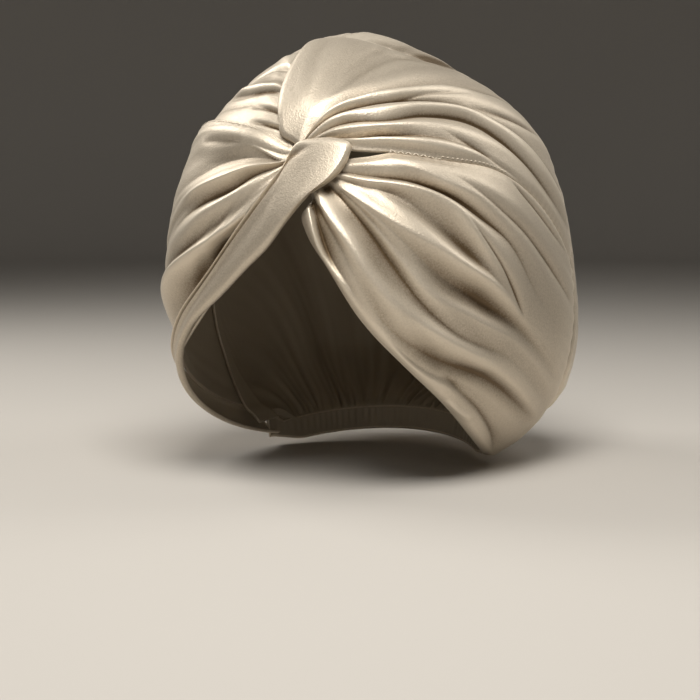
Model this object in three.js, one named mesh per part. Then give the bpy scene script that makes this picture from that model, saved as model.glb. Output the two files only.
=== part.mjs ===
// Twist-front satin sleep bonnet, kept in its worn form. Millimetres, +Z up, the face looks along -Y.
// Every wall of cloth is a shell around one centre: its outside is the general form, plus what the
// piece lifts off it, plus the folds that run out of the knot. A piece named right lies toward +X,
// on the right as one faces the bonnet, which is the wearer's left.
import * as THREE from "three";

const { degToRad, radToDeg, clamp, lerp, smoothstep } = THREE.MathUtils;

// ---- driving sizes ----

const CLOTH = 1.6; // a wall of doubled satin
const GAP = 0.8; // between one piece and the piece that lies on it
const SEAM_GAP = 0.6; // between two pieces sewn edge to edge
const MEAN_RADIUS = 118; // turns angles at the centre into lengths on the form

// The general form: how far it reaches from its centre each way, and how square it is.
const CENTRE = new THREE.Vector3(0, 29, 30);
const FORM = { left: 105, right: 98, front: 116, back: 122, top: 117, bottom: 112, power: 2.3 };

// Soft swells and hollows of the form, placed by compass (0 is the face, 90 is +X) and by height.
const SWELLS = [
  { around: 112, up: -32, out: 12, spread: 22 },
  { around: 60, up: 60, out: -6, spread: 20 },
  { around: 0, up: 80, out: 8, spread: 12 },
  { around: -45, up: 45, out: -2, spread: 25 },
  { around: 100, up: 0, out: -2, spread: 20 },
];

// The knot that every fold runs from, and how it draws the cloth in around itself.
const KNOT = { around: 6, up: 32.6, draw: 6, reach: 8 };

// The nape: where the gathered back ends, how far out it reaches, and the band below it.
const NAPE = { around: 105, up: -54.5, corner: 64, middle: 59, gap: 1 };
const NAPE_BAND = { height: 11, wall: 3, edge: 1.8, lean: 2, ripple: 0.5 };

// ---- edges: bearings around the knot (0 is up, 90 is +X) at distances from it, all in degrees ----

const PETAL_EDGE = {
  away: [2, 6, 10, 18, 30, 45, 60],
  bearing: [-30, -50, -38, -27, -19, -15, -14],
};
const SIDE_SEAM = {
  away: [2, 5, 12, 17, 22, 35, 50, 70, 90, 103],
  bearing: [60, 72, 86, 87, 85, 82, 77, 76, 77, 79],
};
const SLIT_FLOOR = {
  away: [5, 9, 13, 18, 22],
  bearing: [118, 104, 96, 90, 85],
};
const RIGHT_RIM = {
  away: [5, 9, 13, 16, 20, 30, 45, 60, 75, 95, 122],
  bearing: [172, 160, 157, 169, 168, 160, 154, 148, 144, 142, 140.5],
};
const LEFT_SEAM = {
  away: [2, 4, 10, 20, 40, 80],
  bearing: [-45, -58, -60, -63, -63, -66],
};
const LEFT_TUCK = {
  away: [3, 8, 14, 30, 45, 60, 72, 90],
  bearing: [-200, -172, -163, -152, -146, -139, -133, -131],
};
const RIGHT_FAR = {
  bearing: [-20, 0, 12, 20, 30, 45, 60, 90, 105, 120, 141],
  away: [45, 47, 56, 69, 83, 93, 99, 105, 108, 114, 121],
};
const LEFT_FAR = {
  bearing: [-140, -120, -100, -80, -65, -45, -30, -15, 0],
  away: [127, 115, 102, 89, 74, 48, 39, 27, 25],
};

// The twist band: its two edges at shares of its length, in degrees toward +X from the knot and above it.
const BAND = {
  at: [0, 0.08, 0.16, 0.24, 0.32, 0.45, 0.6, 0.75, 0.88, 1],
  upperLeftward: [13, 9, 4, 0, -2, -10, -23, -42, -63, -93],
  upperUp: [1, 2, 2, 1, -5, -16, -29, -40, -53, -79],
  lowerLeftward: [6, 3, 0, -4, -9, -19, -33, -47, -63, -82],
  lowerUp: [-11, -15, -19, -24, -28, -35, -42, -52, -68, -96],
  bow: [2, 1.5, 0.5, 0, 0, 0, 0, 0, 0, 0],
};

// ---- folds: bearing of the crest at each distance, height, width before and after it, and its ends ----

const FOLD_AT = [8, 20, 35, 55, 85];

const RIGHT_UPPER_FOLDS = [
  { bearing: [24, 31, 36, 36, 37], height: -2.2, before: 9, after: 4, from: 4, to: 80 },
  { bearing: [28, 37, 42, 42, 44], height: 2.6, before: 4, after: 4, from: 5, to: 90 },
  { bearing: [31, 43, 47, 48, 51], height: -3, before: 3, after: 5, from: 4, to: 92 },
  { bearing: [38, 51, 52, 53, 59], height: 2.2, before: 5, after: 4, from: 6, to: 95 },
  { bearing: [47, 59, 57, 58, 66], height: -2.6, before: 4, after: 6, from: 8, to: 96 },
  { bearing: [60, 64, 63, 66, 73], height: 2, before: 6, after: 6, from: 6, to: 92 },
  { bearing: [70, 71, 69, 76, 82], height: -2, before: 5, after: 5, from: 4, to: 90 },
];
const RIGHT_LOWER_FOLDS = [
  { bearing: [112, 98, 92, 92, 92], height: 3, before: 9, after: 4, from: 10, to: 80 },
  { bearing: [122, 106, 99, 100, 102], height: -4.5, before: 3, after: 7, from: 9, to: 62 },
  { bearing: [128, 117, 110, 111, 112], height: 3.6, before: 6, after: 7, from: 9, to: 54 },
  { bearing: [138, 125, 119, 114, 113], height: 2.2, before: 5, after: 6, from: 10, to: 52 },
  { bearing: [146, 133, 129, 131, 132], height: -4.5, before: 6, after: 7, from: 10, to: 48 },
  { bearing: [152, 147, 146, 137, 128], height: 4.5, before: 10, after: 8, from: 11, to: 74 },
  { bearing: [160, 155, 153, 150, 150], height: -2.5, before: 2.5, after: 2.5, from: 12, to: 28 },
  { bearing: [135, 128, 126, 122, 105], height: -4, before: 6, after: 8, from: 42, to: 76 },
  { bearing: [150, 148, 146, 143, 129], height: -3, before: 8, after: 8, from: 56, to: 95 },
];
const LEFT_UPPER_FOLDS = [
  { bearing: [-30, -26, -41, -46, -48], height: -2.5, before: 5, after: 4, from: 12, to: 40 },
  { bearing: [-34, -37, -46, -52, -56], height: 1.5, before: 5, after: 4, from: 12, to: 46 },
  { bearing: [-42, -46, -52, -56, -60], height: -1.5, before: 5, after: 5, from: 8, to: 40 },
];
const LEFT_LOWER_FOLDS = [
  { bearing: [-78, -79, -78, -78, -80], height: -1.5, before: 4, after: 4, from: 12, to: 34 },
  { bearing: [-92, -88, -92, -94, -96], height: 2.2, before: 5, after: 6, from: 4, to: 50 },
  { bearing: [-106, -96, -97, -99, -100], height: -1.6, before: 4, after: 4, from: 5, to: 40 },
  { bearing: [-113, -108, -105, -106, -108], height: 3.6, before: 5, after: 4, from: 4, to: 44 },
  { bearing: [-128, -116, -110, -110, -112], height: -3.6, before: 5, after: 4, from: 4, to: 44 },
  { bearing: [-146, -133, -124, -120, -120], height: 4, before: 6, after: 8, from: 4, to: 56 },
  { bearing: [-158, -146, -133, -120, -112], height: -3, before: 4, after: 4, from: 10, to: 60 },
  { bearing: [-160, -148, -135, -125, -118], height: 5, before: 5, after: 5, from: 26, to: 84 },
];

// Folds along the band: the crest across it (0 upper edge, 1 lower) at each share of its length, the
// height, the width as a share, and where the fold starts and ends.
const BAND_FOLD_AT = [0, 0.3, 0.6, 1];
const BAND_LENGTH = 260;
const BAND_FOLDS = [
  { across: [0.18, 0.16, 0.15, 0.2], height: 1.8, width: 0.12, from: 0.05, to: 0.8 },
  { across: [0.3, 0.42, 0.4, 0.42], height: -2.6, width: 0.13, from: 0.1, to: 0.9 },
  { across: [0.62, 0.7, 0.72, 0.7], height: 2, width: 0.17, from: 0.05, to: 0.95 },
];

// The gathered back: its grid, how far it puffs up behind its seam, and its pleats.
const BACK_COLUMNS = 44;
const BACK_ROWS = 11;
const BACK_PUFF = { bearing: [-80, -50, -24, -6, 8, 32], height: [0, 4, 4, 7, 7.5, 0], reach: 16 };
const BACK_PLEATS = { count: 11, height: 2.4 };
const UNDER_PETAL = { from: -17, to: 1 }; // bearings where the back slips under the petal

// ---- the form and the map around the knot ----

// A smooth curve through a short table, held level past its ends.
function follow(places, values, place) {
  const last = places.length - 1;
  if (place <= places[0]) return values[0];
  if (place >= places[last]) return values[last];
  const i = places.findIndex((p, k) => k < last && place <= places[k + 1]);
  const slope = (k) => {
    const before = Math.max(k - 1, 0);
    const after = Math.min(k + 1, last);
    return (values[after] - values[before]) / (places[after] - places[before]);
  };
  const span = places[i + 1] - places[i];
  const t = (place - places[i]) / span;
  const start = (1 + 2 * t) * (1 - t) ** 2 * values[i] + t * (1 - t) ** 2 * span * slope(i);
  const end = t * t * (3 - 2 * t) * values[i + 1] + t * t * (t - 1) * span * slope(i + 1);
  return start + end;
}

function compass(around, up) {
  const a = degToRad(around);
  const u = degToRad(up);
  return new THREE.Vector3(Math.sin(a) * Math.cos(u), -Math.cos(a) * Math.cos(u), Math.sin(u));
}

const swells = SWELLS.map((swell) => ({ ...swell, direction: compass(swell.around, swell.up) }));

function formRadius(direction) {
  const { x, y, z } = direction;
  const sideways = x > 0 ? FORM.left : FORM.right;
  const lengthways = y > 0 ? FORM.back : FORM.front;
  const upright = z > 0 ? FORM.top : FORM.bottom;
  const shares = [x / sideways, y / lengthways, z / upright];
  const sum = shares.reduce((total, share) => total + Math.abs(share) ** FORM.power, 0);
  const swelling = swells.reduce((total, swell) => {
    const apart = radToDeg(direction.angleTo(swell.direction));
    return total + swell.out * Math.exp(-0.5 * (apart / swell.spread) ** 2);
  }, 0);
  return sum ** (-1 / FORM.power) + swelling;
}

const knotOut = compass(KNOT.around, KNOT.up);
const knotUp = new THREE.Vector3(0, 0, 1).addScaledVector(knotOut, -knotOut.z).normalize();
const knotSide = new THREE.Vector3().crossVectors(knotUp, knotOut);

function fromKnot(bearing, away) {
  const b = degToRad(bearing);
  const a = degToRad(away);
  return new THREE.Vector3()
    .addScaledVector(knotOut, Math.cos(a))
    .addScaledVector(knotUp, Math.cos(b) * Math.sin(a))
    .addScaledVector(knotSide, Math.sin(b) * Math.sin(a));
}

function toKnot(direction) {
  const side = direction.dot(knotSide);
  const up = direction.dot(knotUp);
  const out = clamp(direction.dot(knotOut), -1, 1);
  return { bearing: radToDeg(Math.atan2(side, up)), away: radToDeg(Math.acos(out)) };
}

// Length on the form of one degree of bearing, at a distance from the knot.
const perDegree = (away) => degToRad(Math.max(MEAN_RADIUS * Math.sin(degToRad(away)), 3));

// The bearing of an edge at a distance from the knot, and the same moved sideways by a length.
const bearingOf = (edge, away) => follow(edge.away, edge.bearing, away);
const shifted = (edge, away, millimetres) => bearingOf(edge, away) + millimetres / perDegree(away);
const knotDraw = (away) => KNOT.draw * Math.exp(-((away / KNOT.reach) ** 2));

// ---- heights over the form ----

function foldHeight(folds, bearing, away) {
  return folds.reduce((total, fold) => {
    const offset = (bearing - follow(FOLD_AT, fold.bearing, away)) * perDegree(away);
    const narrowing = lerp(0.35, 1, smoothstep(away, 4, 26));
    const width = (offset < 0 ? fold.before : fold.after) * narrowing;
    const shape = Math.exp(-(Math.abs(offset / width) ** 1.6));
    const ends = smoothstep(away, fold.from, fold.from + 8) * (1 - smoothstep(away, fold.to - 14, fold.to));
    return total + fold.height * narrowing * shape * ends;
  }, 0);
}

// How much of the folds is left near a sewn or tucked edge, from the distance to it.
const fadeAt = (distance, reach = 9) => smoothstep(distance, 0, reach);

// A folded edge turns down over its last few millimetres.
const turnDown = (distance, drop, reach = 3) => -drop * (1 - clamp(distance / reach, 0, 1)) ** 2;

const SEAM_TURN = 0.8; // how far a sewn edge turns down
const PETAL_TURN = 1.2; // how far the petal's folded edge turns down
const RIM_TURN = 3; // how far the rim by the forehead turns down
const TUCK = 7; // how far a piece runs on under the one that lies over it

const farLeft = (bearing) => follow(LEFT_FAR.bearing, LEFT_FAR.away, bearing);
const farRight = (bearing) => follow(RIGHT_FAR.bearing, RIGHT_FAR.away, bearing);
const toMillimetres = (degrees) => degToRad(degrees) * MEAN_RADIUS;

// A far seam runs askew to the bearings, so the way to it is shorter than straight out from the knot.
function askew(far, bearing) {
  const slope = (far(bearing + 1) - far(bearing - 1)) / 2 / Math.sin(degToRad(far(bearing)));
  return Math.hypot(1, slope);
}
const toSeam = (far, bearing, away) => toMillimetres(far(bearing) - away) / askew(far, bearing);

function leftUpperHeight(bearing, away) {
  const fromPetal = (shifted(PETAL_EDGE, away, TUCK) - bearing) * perDegree(away);
  const fromSeam = (bearing - shifted(LEFT_SEAM, away, -TUCK)) * perDegree(away);
  const fromFar = toSeam(farLeft, bearing, away);
  const sides = fadeAt(fromPetal, 12) * fadeAt(fromSeam, 12);
  const folds = foldHeight(LEFT_UPPER_FOLDS, bearing, away) * sides * fadeAt(fromFar - 6);
  return folds - 0.4 * (1 - sides) + turnDown(fromFar, SEAM_TURN) - knotDraw(away);
}

function leftLowerHeight(bearing, away) {
  const fromTop = (shifted(LEFT_SEAM, away, 0) - bearing) * perDegree(away);
  const fromTuck = (bearing - bearingOf(LEFT_TUCK, away)) * perDegree(away);
  const fromFar = toSeam(farLeft, bearing, away);
  const kept = fadeAt(fromTuck, 12) * fadeAt(fromFar - 6);
  const lift = 2.6 * (1 - smoothstep(fromTop, 0, 24));
  const folds = foldHeight(LEFT_LOWER_FOLDS, bearing, away) * kept;
  const seams = turnDown(fromTop, SEAM_TURN) + turnDown(fromFar, SEAM_TURN);
  const underBand = -0.8 * (1 - fadeAt(fromTuck, 12));
  return lift + folds + seams + underBand - knotDraw(away);
}

function rightLowerHeight(bearing, away) {
  const fromSeam = (bearing - slitFloor(away)) * perDegree(away);
  const fromRim = (bearingOf(RIGHT_RIM, away) - bearing) * perDegree(away);
  const fromFar = toSeam(farRight, bearing, away);
  const kept = fadeAt(fromSeam, 5) * fadeAt(fromFar - 6) * fadeAt(fromRim + 2, 5) * smoothstep(away, 9, 15);
  const folds = foldHeight(RIGHT_LOWER_FOLDS, bearing, away) * kept;
  const seams = turnDown(fromSeam, SEAM_TURN) + turnDown(fromFar, SEAM_TURN);
  const underBandStart = smoothstep(away, 12, 20) - 1;
  return folds + seams + turnDown(fromRim, RIM_TURN, 5) + underBandStart - knotDraw(away);
}

function rightUpperHeight(bearing, away) {
  const fromEdge = (bearing - bearingOf(PETAL_EDGE, away)) * perDegree(away);
  const fromSeam = (bearingOf(SIDE_SEAM, away) - bearing) * perDegree(away);
  const fromFar = toSeam(farRight, bearing, away);
  const kept = fadeAt(fromSeam, 5) * fadeAt(fromFar - 6);
  const lift = 4.6 * (1 - smoothstep(fromEdge, 4, 46));
  const folds = foldHeight(RIGHT_UPPER_FOLDS, bearing, away) * kept;
  const seams = turnDown(fromSeam, SEAM_TURN) + turnDown(fromFar, SEAM_TURN);
  const underBandStart = smoothstep(away, 2, 14) - 1;
  return lift + folds + seams + turnDown(fromEdge, PETAL_TURN) + underBandStart - knotDraw(away);
}

// Where the two right pieces part: a slit by the knot, then the side seam.
function slitFloor(away) {
  const seam = bearingOf(SIDE_SEAM, away);
  return away < 22 ? Math.max(bearingOf(SLIT_FLOOR, away), seam) : seam;
}

// A piece that lies on another never comes closer to it than its own wall and a gap.
const over = (height, below) => Math.max(height, below + CLOTH + GAP);

// ---- shells ----

// Builds one closed wall from a function that gives the outside's direction and radius over a grid.
function shell(name, colour, columns, rows, place) {
  const positions = [];
  const outside = (i, j) => i * (rows + 1) + j;
  const inside = (i, j) => (columns + 1) * (rows + 1) + outside(i, j);
  for (const layer of [0, 1]) {
    for (let i = 0; i <= columns; i += 1) {
      for (let j = 0; j <= rows; j += 1) {
        const { direction, radius, wall = CLOTH } = place(i / columns, j / rows);
        const point = CENTRE.clone().addScaledVector(direction, radius - layer * wall);
        positions.push(point.x, point.y, point.z);
      }
    }
  }
  const faces = [];
  const quad = (a, b, c, d) => faces.push(a, b, c, a, c, d);
  for (let i = 0; i < columns; i += 1) {
    for (let j = 0; j < rows; j += 1) {
      quad(outside(i, j), outside(i + 1, j), outside(i + 1, j + 1), outside(i, j + 1));
      quad(inside(i, j), inside(i, j + 1), inside(i + 1, j + 1), inside(i + 1, j));
    }
    quad(outside(i + 1, 0), outside(i, 0), inside(i, 0), inside(i + 1, 0));
    quad(outside(i, rows), outside(i + 1, rows), inside(i + 1, rows), inside(i, rows));
  }
  for (let j = 0; j < rows; j += 1) {
    quad(outside(0, j), outside(0, j + 1), inside(0, j + 1), inside(0, j));
    quad(outside(columns, j + 1), outside(columns, j), inside(columns, j), inside(columns, j + 1));
  }
  const geometry = new THREE.BufferGeometry();
  geometry.setAttribute("position", new THREE.Float32BufferAttribute(positions, 3));
  geometry.setIndex(faces);
  geometry.computeVertexNormals();
  const satin = new THREE.MeshStandardMaterial({ color: colour, roughness: 0.35, metalness: 0 });
  const mesh = new THREE.Mesh(geometry, satin);
  mesh.name = name;
  return mesh;
}

const LAST_ROW = 3.2; // degrees from the last row but one of a fan to its far seam

// A fan of cloth between two edges that leave the knot, from a start near it to a far seam, with
// rows that open out from the knot and a narrow last row at the seam. The edges bend and the seam runs
// askew, so each place is found in a few passes from a first guess.
function fan(name, colour, columns, rows, { low, high, start, far, height }) {
  return shell(name, colour, columns, rows, (a, b) => {
    const share = Math.min((b * rows) / (rows - 1), 1) ** 1.15;
    let away = lerp(start, 60, b);
    let bearing = 0;
    for (let pass = 0; pass < 8; pass += 1) {
      bearing = lerp(low(away), high(away), a);
      const end = far(bearing);
      away = b === 1 ? end : lerp(start, end - LAST_ROW, share);
    }
    const direction = fromKnot(bearing, away);
    return { direction, radius: formRadius(direction) + height(bearing, away) };
  });
}

function leftUpperWrap() {
  return fan("left_upper_wrap", 0xc9bda6, 12, 9, {
    low: (away) => shifted(LEFT_SEAM, away, -TUCK),
    high: (away) => shifted(PETAL_EDGE, away, TUCK),
    start: 4,
    far: farLeft,
    height: leftUpperHeight,
  });
}

function leftLowerWrap() {
  return fan("left_lower_wrap", 0xcfc4ae, 22, 12, {
    low: (away) => bearingOf(LEFT_TUCK, away),
    high: (away) => shifted(LEFT_SEAM, away, 0),
    start: 2,
    far: farLeft,
    height: (bearing, away) => over(leftLowerHeight(bearing, away), underLeftLower(bearing, away)),
  });
}

// The left upper wrap, only as far as it runs under the left lower one.
function underLeftLower(bearing, away) {
  const covered = (bearing - shifted(LEFT_SEAM, away, -TUCK - 3)) * perDegree(away);
  return covered > 0 ? leftUpperHeight(bearing, away) : -Infinity;
}

function rightUpperWrap() {
  return fan("right_upper_wrap", 0xd2c7b2, 32, 15, {
    low: (away) => bearingOf(PETAL_EDGE, away),
    high: (away) => shifted(SIDE_SEAM, away, -SEAM_GAP / 2),
    start: 1.2,
    far: farRight,
    height: (bearing, away) => over(rightUpperHeight(bearing, away), underPetal(bearing, away)),
  });
}

// What lies under the petal's folded edge: the left upper wrap, only as far as it is tucked in.
function underPetal(bearing, away) {
  const uncovered = (shifted(PETAL_EDGE, away, TUCK + 3) - bearing) * perDegree(away);
  return uncovered > 0 && away > 4 ? leftUpperHeight(bearing, away) : -Infinity;
}

function rightLowerWrap() {
  return fan("right_lower_wrap", 0xcabfa9, 28, 17, {
    low: (away) => slitFloor(away) + SEAM_GAP / 2 / perDegree(away),
    high: (away) => bearingOf(RIGHT_RIM, away),
    start: 6.5,
    far: farRight,
    height: rightLowerHeight,
  });
}

// The height of whatever the twist band lies on, on any bearing.
function underBand(bearing, away) {
  const turned = bearing > 0 ? bearing - 360 : bearing;
  const onLeft = turned > shifted(LEFT_TUCK, away, -3);
  const left = onLeft && away > 3 ? leftLowerHeight(turned, away) : -Infinity;
  const onRight = bearing > slitFloor(away) - 3 / perDegree(away) && away > 5;
  const rim = shifted(RIGHT_RIM, away, 3);
  const right = onRight && bearing < rim ? rightLowerHeight(bearing, away) : -Infinity;
  const onTop = bearing > -60 && bearing < shifted(SIDE_SEAM, away, 6);
  const top = onTop && away > 1.5 ? rightUpperHeight(bearing, away) : -Infinity;
  return Math.max(left, right, top);
}

function twistBand() {
  return shell("twist_band", 0xd6ccb8, 28, 9, (a, b) => {
    const column = (key) => follow(BAND.at, BAND[key], a);
    const bow = column("bow") * 4 * b * (1 - b);
    const leftward = lerp(column("upperLeftward"), column("lowerLeftward"), b) + bow;
    const up = lerp(column("upperUp"), column("lowerUp"), b) - bow / 2;
    const away = Math.hypot(leftward, up);
    const bearing = radToDeg(Math.atan2(leftward, up));
    const direction = fromKnot(bearing, away);
    const acrossLeftward = column("upperLeftward") - column("lowerLeftward");
    const acrossUp = column("upperUp") - column("lowerUp");
    const fromEdge = Math.min(b, 1 - b) * toMillimetres(Math.hypot(acrossLeftward, acrossUp));
    const fromStart = a * BAND_LENGTH;
    const folds = BAND_FOLDS.reduce((total, fold) => {
      const crest = follow(BAND_FOLD_AT, fold.across, a);
      const ends = smoothstep(a, fold.from, fold.from + 0.1) * (1 - smoothstep(a, fold.to - 0.1, fold.to));
      return total + fold.height * Math.exp(-(((b - crest) / fold.width) ** 2)) * ends;
    }, 0);
    const lift = lerp(5.6, 3, smoothstep(a, 0.15, 0.6));
    const own = lift + folds + turnDown(fromEdge, 1.6, 4) + turnDown(fromStart, 3, 5) - 0.5 * knotDraw(away);
    return { direction, radius: formRadius(direction) + over(own, underBand(bearing, away)) };
  });
}

// ---- the gathered back and the nape band ----

const SEAM_TUCK = { degrees: 2.5, depth: 3.8 }; // how far the back runs under the seam, and how deep
const BACK_ENDS = { from: -138.5, to: 140 }; // the bearings of its first and last row
const FIRST_ROWS = [0, 6.5, 11, 17]; // places down a row that keep their distance to its edge
const SHORT_ROW = 60; // the length below which a row draws those places together
const BACK_BEND = 1.5; // how far its rows swing backward before they turn down
const BACK_EASE = 1.4; // radians to the nape below which they swing less

function backStart(bearing) {
  const share = smoothstep(bearing, UNDER_PETAL.from, UNDER_PETAL.to);
  const seam = (b) => lerp(farLeft(b), farRight(b), share);
  return seam(bearing) - SEAM_TUCK.degrees * askew(seam, bearing);
}

function slerp(from, to, share) {
  const apart = from.angleTo(to);
  if (apart < 1e-6) return from.clone();
  const direction = from.clone().multiplyScalar(Math.sin((1 - share) * apart));
  return direction.addScaledVector(to, Math.sin(share * apart)).normalize();
}

// One row down the back: it leaves the seam straight backward, then bends down to the nape.
function backRow(across) {
  const bearing = lerp(BACK_ENDS.from, BACK_ENDS.to, across);
  const from = fromKnot(bearing, backStart(bearing));
  const to = compass(-NAPE.around - (360 - 2 * NAPE.around) * across, NAPE.up);
  const backward = BACK_BEND * Math.min(1, from.angleTo(to) / BACK_EASE);
  const bend = from.clone().add(new THREE.Vector3(0, backward, 0)).normalize();
  const steps = 40;
  const route = [{ direction: from, distance: 0 }];
  for (let k = 1; k <= steps; k += 1) {
    const share = k / steps;
    const direction = slerp(slerp(from, bend, share), slerp(bend, to, share), share);
    const before = route[k - 1];
    route.push({ direction, distance: before.distance + MEAN_RADIUS * before.direction.angleTo(direction) });
  }
  return { bearing, route, length: route[steps].distance };
}

// A place on the back: the first places of a row keep their distance to the seam, and the rest share
// what is left.
function backPlace({ route, length }, place) {
  const near = FIRST_ROWS.map((distance) => distance * Math.min(1, length / SHORT_ROW));
  const last = near.length - 1;
  const evenly = (place - last) / (BACK_ROWS - last);
  const fromSeam = place <= last ? near[place] : lerp(near[last], length, evenly);
  const passed = route.findIndex((step, k) => k === route.length - 1 || step.distance >= fromSeam);
  const next = Math.max(1, passed);
  const [before, after] = [route[next - 1], route[next]];
  const share = clamp((fromSeam - before.distance) / (after.distance - before.distance), 0, 1);
  return { direction: slerp(before.direction, after.direction, share), fromSeam, toNape: length - fromSeam };
}

function napeReach(across) {
  return lerp(NAPE.corner, NAPE.middle, Math.sin(Math.PI * across));
}

// How far a place lies under the front pieces, in millimetres, and less than nothing behind them.
function underFront(bearing, away) {
  const pastPetalEdge = (bearing - bearingOf(PETAL_EDGE, away)) * perDegree(away);
  const petal = Math.min(pastPetalEdge, toSeam(farRight, bearing, away));
  return Math.max(petal, pastPetalEdge > 0 ? petal : toSeam(farLeft, bearing, away));
}

function backHeight(bearing, away) {
  const behind = -underFront(bearing, away);
  const puff = follow(BACK_PUFF.bearing, BACK_PUFF.height, bearing);
  const rise = smoothstep(behind, 2, BACK_PUFF.reach) * (1 - smoothstep(behind, 30, 110));
  return puff * rise - SEAM_TUCK.depth * (1 - smoothstep(behind, 2.5, 6.5));
}

function backCap() {
  return shell("back_cap", 0xbfb49d, BACK_COLUMNS, BACK_ROWS, (across, b) => {
    const row = backRow(across);
    const { direction, toNape } = backPlace(row, Math.round(b * BACK_ROWS));
    const { bearing, away } = toKnot(direction);
    const nape = napeReach(across) / Math.cos(degToRad(NAPE.up));
    const drawn = lerp(formRadius(direction), nape, 1 - smoothstep(toNape, 0, 60));
    const shortness = Math.min(1, row.length / SHORT_ROW);
    const gathered = smoothstep(toNape, 0, 12) * (1 - smoothstep(toNape, 10, 70)) * shortness;
    const pleats = BACK_PLEATS.height * Math.cos(2 * Math.PI * BACK_PLEATS.count * across) * gathered;
    return { direction, radius: drawn + backHeight(bearing, away) + pleats };
  });
}

function napeBand() {
  return shell("nape_band", 0xc4b9a2, BACK_COLUMNS, 3, (across, b) => {
    const { direction: top } = backPlace(backRow(across), BACK_ROWS);
    const reach = napeReach(across);
    const level = Math.tan(degToRad(NAPE.up)) * reach - NAPE.gap - NAPE_BAND.height * b;
    const flat = new THREE.Vector3(top.x, top.y, 0).normalize();
    const ripple = NAPE_BAND.ripple * Math.cos(Math.PI * BACK_COLUMNS * across);
    const point = flat.multiplyScalar(reach - (NAPE_BAND.lean + ripple) * b);
    point.z = level;
    const radius = point.length();
    const thick = lerp(NAPE_BAND.edge, NAPE_BAND.wall, Math.sin(Math.PI * b));
    return { direction: point.clone().normalize(), radius, wall: thick };
  });
}

const bonnet = new THREE.Group();
bonnet.add(leftUpperWrap(), leftLowerWrap());
bonnet.add(rightUpperWrap(), rightLowerWrap());
bonnet.add(twistBand(), backCap(), napeBand());

export default bonnet;
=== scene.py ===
"""Looks of a twist-front satin sleep bonnet in its worn form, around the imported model.

The shape is worked out in millimetres around one centre, as on a globe. Every wall of cloth has a
height over one general form. Places on the front are given around the knot: the bearing (0 up, 90
the wearer's left) and how far away, both in degrees. Meshes are in metres.
"""
import math

import bpy
import numpy as np
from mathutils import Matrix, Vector


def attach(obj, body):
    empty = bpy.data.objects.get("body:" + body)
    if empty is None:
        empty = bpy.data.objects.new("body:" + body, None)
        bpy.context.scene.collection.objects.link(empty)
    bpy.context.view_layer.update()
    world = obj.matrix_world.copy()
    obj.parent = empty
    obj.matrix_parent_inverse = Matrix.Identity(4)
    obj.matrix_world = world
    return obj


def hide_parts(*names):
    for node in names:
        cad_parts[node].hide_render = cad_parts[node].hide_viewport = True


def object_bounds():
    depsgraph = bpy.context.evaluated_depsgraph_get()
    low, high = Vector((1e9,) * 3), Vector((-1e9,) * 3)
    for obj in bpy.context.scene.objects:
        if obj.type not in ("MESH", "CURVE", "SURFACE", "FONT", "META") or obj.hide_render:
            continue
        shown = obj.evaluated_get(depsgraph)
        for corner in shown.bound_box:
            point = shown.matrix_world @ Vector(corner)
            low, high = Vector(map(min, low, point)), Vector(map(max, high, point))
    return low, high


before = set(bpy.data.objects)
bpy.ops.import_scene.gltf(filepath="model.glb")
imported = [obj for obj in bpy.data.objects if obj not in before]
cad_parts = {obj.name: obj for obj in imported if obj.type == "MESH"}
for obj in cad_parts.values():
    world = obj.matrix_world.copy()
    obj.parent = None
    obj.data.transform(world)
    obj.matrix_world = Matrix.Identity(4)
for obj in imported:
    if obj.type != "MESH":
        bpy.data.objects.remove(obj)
cad_low, cad_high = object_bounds()

MILLIMETRE = 0.001
FULL_TURN = 360
BODY = "root"
UNDER_ALL = -1e6  # a height that nothing lies under

# ---- driving sizes, in millimetres and degrees ----

CLOTH = 1.6  # the wall of every piece but the nape's casing
GAP = 0.8  # between a piece and the one that it lies on
SEAM_GAP = 0.6  # between two pieces that meet at a seam
MEAN_RADIUS = 118  # turns degrees on the form into millimetres
CENTRE = np.array([0, 29, 30])
FORM = {"left": 105, "right": 98, "front": 116, "back": 122, "top": 117, "bottom": 112, "power": 2.3}
SWELLS = [
    {"around": 112, "up": -32, "out": 12, "spread": 22},
    {"around": 60, "up": 60, "out": -6, "spread": 20},
    {"around": 0, "up": 80, "out": 8, "spread": 12},
    {"around": -45, "up": 45, "out": -2, "spread": 25},
    {"around": 100, "up": 0, "out": -2, "spread": 20},
]
KNOT = {"around": 6, "up": 32.6, "draw": 6, "reach": 8}
NAPE = {
    "around": 105, "up": -54.5, "corner": 64, "middle": 59, "gap": 1, "band": 11, "wall": 3, "lean": 2,
    "end": 97, "flare": 3.5, "rise": 8, "length": 190, "crown": 0.9, "thin": 1.8,
}
NAPE_ENDS = {"flare": [5, 20], "rise": [8, 22], "narrow": [2, 26], "least": 0.6}
TUCK = 7  # how far a piece runs on under its neighbour
MARGIN = 3  # how far past its edge a covered piece still counts as lying underneath
SEAM_TURN = 0.8  # how far a far edge turns down
FAR_MARGIN = 6  # the folds stop this far from a far seam
LEFT_LIFT = {"height": 2.6, "reach": 24, "sunk": 0.8, "sunk_reach": 12}
PETAL_LIFT = {"height": 4.6, "start": 4, "end": 46}
BAND_LIFT = {"knot": 5.6, "ear": 3, "start": 0.15, "end": 0.6}
EDGE_ROUND = 0.35  # how far a rounded edge stands out, as a share of half its wall
RIM_STEPS = 3  # rows that round an edge over
LAST_ROW = 0.6  # the last row of a fan, in degrees, up to its far seam
FAN = {"first_reach": 60, "passes": 8, "crowding": 1.15}
FOLD = {"narrow": 0.35, "start": 4, "end": 26, "easing_out": 3, "easing_in": 1}
LEAST_STEP = 0.3  # between two lines of a drape
WRINKLE_WAVES = 9
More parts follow.
